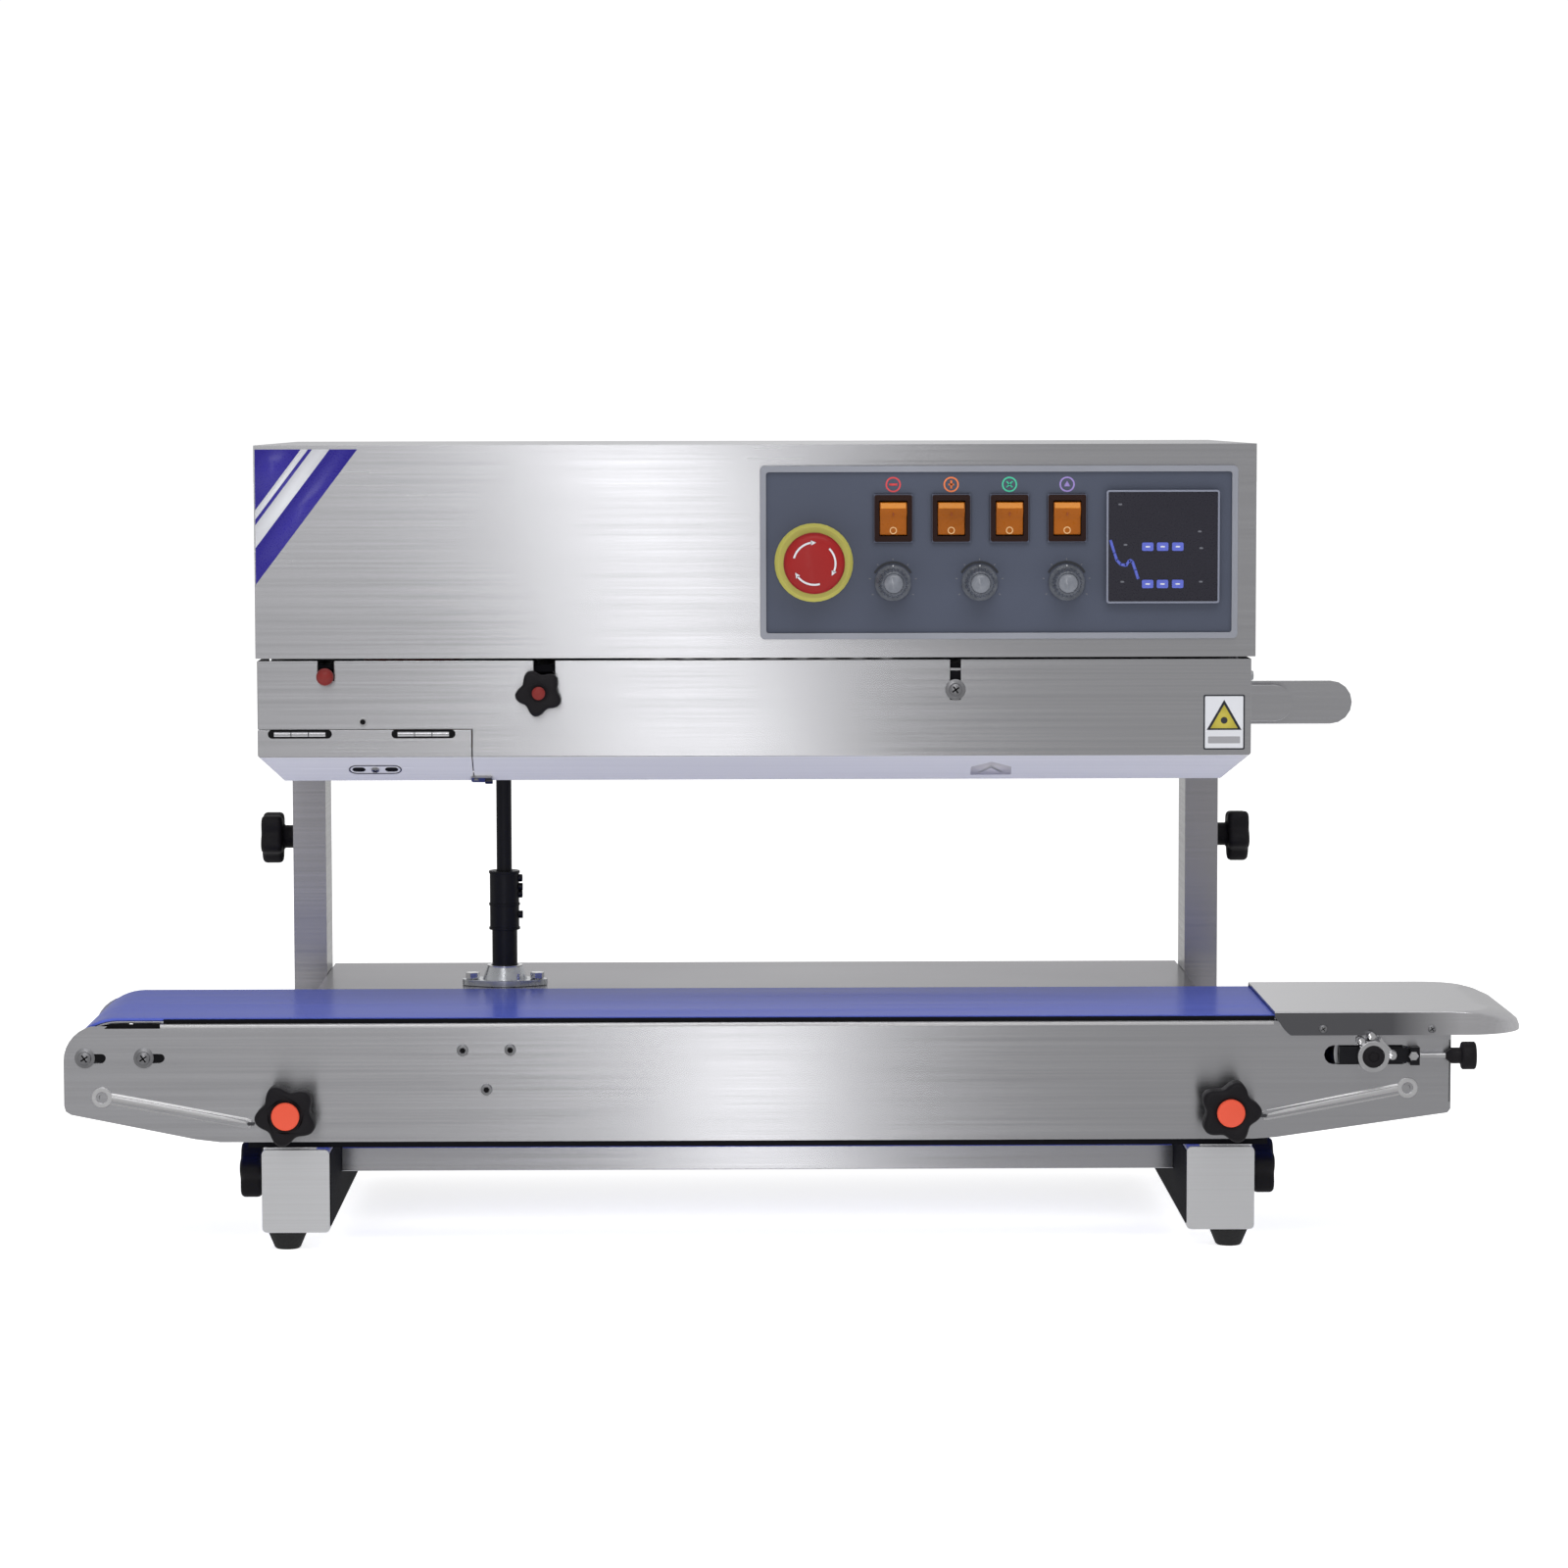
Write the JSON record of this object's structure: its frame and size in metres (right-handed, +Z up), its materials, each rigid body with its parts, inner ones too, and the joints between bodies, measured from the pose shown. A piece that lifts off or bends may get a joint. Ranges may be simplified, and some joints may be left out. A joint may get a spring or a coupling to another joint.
{
  "type": "continuous band sealer",
  "caption": "Bag sealer: a stainless sealing head on two telescopic posts over a motor-driven belt conveyor with an infeed tray, on a low base.",
  "frame": {"origin": "centre of the overall bounding box, at floor level under the rubber feet", "axes": "+X along the conveyor towards the infeed tray, +Y towards the back of the machine, +Z up"},
  "size_m": [0.9466, 0.343, 0.5203],
  "materials": {
    "stainless": "fine horizontal brushing, bent sheet",
    "foot_rubber": "matt moulded rubber",
    "zinc_casting": "bright zinc plated casting",
    "belt": "smooth blue-violet conveyor belt with a soft gloss",
    "roller_aluminium": "turned",
    "black_steel": "blackened steel",
    "lagged_roller": "steel roller with a rubber face",
    "black_plastic": "moulded black plastic, fine texture",
    "panel_grey": "printed grey overlay with a lighter raised rim",
    "controller_case": "light grey bezel round a black face",
    "estop_yellow": "moulded yellow",
    "estop_red": "moulded red",
    "amber_rocker": "translucent amber",
    "clear_grey": "smoky translucent with a light centre",
    "band_fluoropolymer": "brown coated glass cloth",
    "wheel_silicone": "silicone tyre on a hub",
    "heater_brass": "machined"
  },
  "bodies": {
    "base": {"leg_left": "stainless", "leg_right": "stainless", "foot_front_left": "foot_rubber", "foot_front_right": "foot_rubber", "foot_rear_left": "foot_rubber", "foot_rear_right": "foot_rubber", "post_tube_left": "stainless", "post_tube_right": "stainless", "base_crossbar": "stainless", "rear_box": "stainless", "shaft_bearing": "zinc_casting", "conveyor_front_plate": "stainless", "conveyor_rear_plate": "stainless", "slider_bed": "stainless", "conveyor_belt": "belt", "infeed_tray": "stainless", "tension_block": "black_steel"},
    "head": {"head_frame": "stainless", "upper_housing": "stainless", "rear_cover": "stainless", "control_panel": "panel_grey", "temperature_controller": "controller_case", "estop_collar": "estop_yellow", "infeed_guide": "stainless", "seal_band_front": "band_fluoropolymer", "seal_band_rear": "band_fluoropolymer", "heater_block_front": "heater_brass", "heater_block_rear": "heater_brass", "cooling_block_front": "roller_aluminium", "cooling_block_rear": "roller_aluminium", "drive_motor": "black_steel"},
    "drive_roller": {"drive_roller": "lagged_roller"},
    "nose_roller": {"nose_roller": "roller_aluminium"},
    "return_roller": {"return_roller": "roller_aluminium"},
    "tail_roller": {"tail_roller": "roller_aluminium"},
    "lower_drive_shaft": {"lower_drive_shaft": "black_steel"},
    "upper_drive_shaft": {"upper_drive_shaft": "black_steel"},
    "drive_wheel_front": {"drive_wheel_front": "wheel_silicone"},
    "idler_wheel_front": {"idler_wheel_front": "wheel_silicone"},
    "drive_wheel_rear": {"drive_wheel_rear": "wheel_silicone"},
    "idler_wheel_rear": {"idler_wheel_rear": "wheel_silicone"},
    "front_knob_left": {"front_knob_left": "black_plastic"},
    "leg_knob_left": {"leg_knob_left": "black_plastic"},
    "post_knob_left": {"post_knob_left": "black_plastic"},
    "front_knob_right": {"front_knob_right": "black_plastic"},
    "leg_knob_right": {"leg_knob_right": "black_plastic"},
    "post_knob_right": {"post_knob_right": "black_plastic"},
    "tension_knob": {"tension_knob": "black_plastic"},
    "estop_button": {"estop_button": "estop_red"},
    "rocker_1": {"rocker_1": "amber_rocker"},
    "rocker_2": {"rocker_2": "amber_rocker"},
    "rocker_3": {"rocker_3": "amber_rocker"},
    "rocker_4": {"rocker_4": "amber_rocker"},
    "dial_1": {"dial_1": "clear_grey"},
    "dial_2": {"dial_2": "clear_grey"},
    "dial_3": {"dial_3": "clear_grey"},
    "pressure_knob": {"pressure_knob": "black_plastic"},
    "release_lever": {"release_lever": "estop_red"},
    "front_cover": {"front_cover": "stainless"},
    "access_flap": {"access_flap": "stainless"}
  },
  "joints": [
    {"name": "head_lift", "type": "slide", "parent": "base", "child": "head", "axis": [0, 0, 1], "range_m": [0, 0.08]},
    {"name": "drive_roller_spin", "type": "hinge", "parent": "base", "child": "drive_roller", "pos_m": [-0.19675, -0.06, 0.122], "axis": [0, -1, 0], "continuous": true},
    {"name": "nose_roller_spin", "type": "hinge", "parent": "base", "child": "nose_roller", "pos_m": [-0.46025, -0.06, 0.1255], "axis": [0, -1, 0], "continuous": true},
    {"name": "return_roller_spin", "type": "hinge", "parent": "base", "child": "return_roller", "pos_m": [-0.42175, -0.06, 0.1255], "axis": [0, -1, 0], "continuous": true},
    {"name": "tail_roller_spin", "type": "hinge", "parent": "base", "child": "tail_roller", "pos_m": [0.37225, -0.06, 0.1254], "axis": [0, -1, 0], "continuous": true},
    {"name": "lower_shaft_spin", "type": "hinge", "parent": "base", "child": "lower_drive_shaft", "pos_m": [-0.19675, 0.0425, 0.18], "axis": [0, 0, 1], "continuous": true},
    {"name": "upper_shaft_spin", "type": "hinge", "parent": "head", "child": "upper_drive_shaft", "pos_m": [-0.19675, 0.0425, 0.3], "axis": [0, 0, 1], "continuous": true},
    {"name": "drive_wheel_front_spin", "type": "hinge", "parent": "head", "child": "drive_wheel_front", "pos_m": [-0.24975, -0.0918, 0.3325], "axis": [0, 0, 1], "continuous": true},
    {"name": "idler_wheel_front_spin", "type": "hinge", "parent": "head", "child": "idler_wheel_front", "pos_m": [0.20025, -0.0918, 0.3325], "axis": [0, 0, 1], "continuous": true},
    {"name": "drive_wheel_rear_spin", "type": "hinge", "parent": "head", "child": "drive_wheel_rear", "pos_m": [-0.24975, -0.0292, 0.3325], "axis": [0, 0, 1], "continuous": true},
    {"name": "idler_wheel_rear_spin", "type": "hinge", "parent": "head", "child": "idler_wheel_rear", "pos_m": [0.20025, -0.0292, 0.3325], "axis": [0, 0, 1], "continuous": true},
    {"name": "front_knob_left_turn", "type": "hinge", "parent": "base", "child": "front_knob_left", "pos_m": [-0.32775, -0.1575, 0.092], "axis": [0, 1, 0], "range_deg": [-360, 360]},
    {"name": "leg_knob_left_turn", "type": "hinge", "parent": "base", "child": "leg_knob_left", "pos_m": [-0.35975, -0.0525, 0.039], "axis": [1, 0, 0], "range_deg": [-360, 360]},
    {"name": "post_knob_left_turn", "type": "hinge", "parent": "base", "child": "post_knob_left", "pos_m": [-0.36175, 0.1285, 0.245], "axis": [1, 0, 0], "range_deg": [-360, 360]},
    {"name": "front_knob_right_turn", "type": "hinge", "parent": "base", "child": "front_knob_right", "pos_m": [0.27825, -0.1575, 0.092], "axis": [0, 1, 0], "range_deg": [-360, 360]},
    {"name": "leg_knob_right_turn", "type": "hinge", "parent": "base", "child": "leg_knob_right", "pos_m": [0.31025, -0.0525, 0.039], "axis": [1, 0, 0], "range_deg": [-360, 360]},
    {"name": "post_knob_right_turn", "type": "hinge", "parent": "base", "child": "post_knob_right", "pos_m": [0.31225, 0.1285, 0.245], "axis": [1, 0, 0], "range_deg": [-360, 360]},
    {"name": "tension_knob_turn", "type": "hinge", "parent": "base", "child": "tension_knob", "pos_m": [0.43225, -0.1427, 0.1254], "axis": [1, 0, 0], "range_deg": [-360, 360]},
    {"name": "estop_press", "type": "slide", "parent": "head", "child": "estop_button", "axis": [0, 1, 0], "range_m": [0, 0.004]},
    {"name": "rocker_1_tip", "type": "hinge", "parent": "head", "child": "rocker_1", "pos_m": [0.06205, -0.1505, 0.4731], "axis": [-1, 0, 0], "range_deg": [0, 20]},
    {"name": "rocker_2_tip", "type": "hinge", "parent": "head", "child": "rocker_2", "pos_m": [0.09905, -0.1505, 0.4731], "axis": [-1, 0, 0], "range_deg": [0, 20]},
    {"name": "rocker_3_tip", "type": "hinge", "parent": "head", "child": "rocker_3", "pos_m": [0.13625, -0.1505, 0.4731], "axis": [-1, 0, 0], "range_deg": [0, 20]},
    {"name": "rocker_4_tip", "type": "hinge", "parent": "head", "child": "rocker_4", "pos_m": [0.17305, -0.1505, 0.4731], "axis": [-1, 0, 0], "range_deg": [0, 20]},
    {"name": "dial_1_turn", "type": "hinge", "parent": "head", "child": "dial_1", "pos_m": [0.06185, -0.1575, 0.432], "axis": [0, 1, 0], "range_deg": [-140, 140]},
    {"name": "dial_2_turn", "type": "hinge", "parent": "head", "child": "dial_2", "pos_m": [0.11725, -0.1575, 0.432], "axis": [0, 1, 0], "range_deg": [-140, 140]},
    {"name": "dial_3_turn", "type": "hinge", "parent": "head", "child": "dial_3", "pos_m": [0.17285, -0.1575, 0.432], "axis": [0, 1, 0], "range_deg": [-140, 140]},
    {"name": "pressure_knob_turn", "type": "hinge", "parent": "head", "child": "pressure_knob", "pos_m": [-0.16425, -0.1575, 0.3627], "axis": [0, 1, 0], "range_deg": [-360, 360]},
    {"name": "release_lever_lift", "type": "slide", "parent": "head", "child": "release_lever", "axis": [0, 0, 1], "range_m": [0, 0.005]},
    {"name": "front_cover_drop", "type": "slide", "parent": "head", "child": "front_cover", "axis": [0, 0, -1], "range_m": [0, 0.09]},
    {"name": "access_flap_swing", "type": "hinge", "parent": "front_cover", "child": "access_flap", "pos_m": [-0.27575, -0.1459, 0.3387], "axis": [-1, 0, 0], "range_deg": [0, 100]}
  ],
  "couplings": [
    {"joint": "nose_roller_spin", "follows": "drive_roller_spin", "ratio": 2},
    {"joint": "return_roller_spin", "follows": "drive_roller_spin", "ratio": 2},
    {"joint": "tail_roller_spin", "follows": "drive_roller_spin", "ratio": 0.91286},
    {"joint": "lower_shaft_spin", "follows": "drive_roller_spin", "ratio": -1},
    {"joint": "upper_shaft_spin", "follows": "drive_roller_spin", "ratio": -1},
    {"joint": "drive_wheel_front_spin", "follows": "drive_roller_spin", "ratio": 0.73333},
    {"joint": "idler_wheel_front_spin", "follows": "drive_roller_spin", "ratio": 0.73333},
    {"joint": "drive_wheel_rear_spin", "follows": "drive_roller_spin", "ratio": -0.73333},
    {"joint": "idler_wheel_rear_spin", "follows": "drive_roller_spin", "ratio": -0.73333}
  ]
}
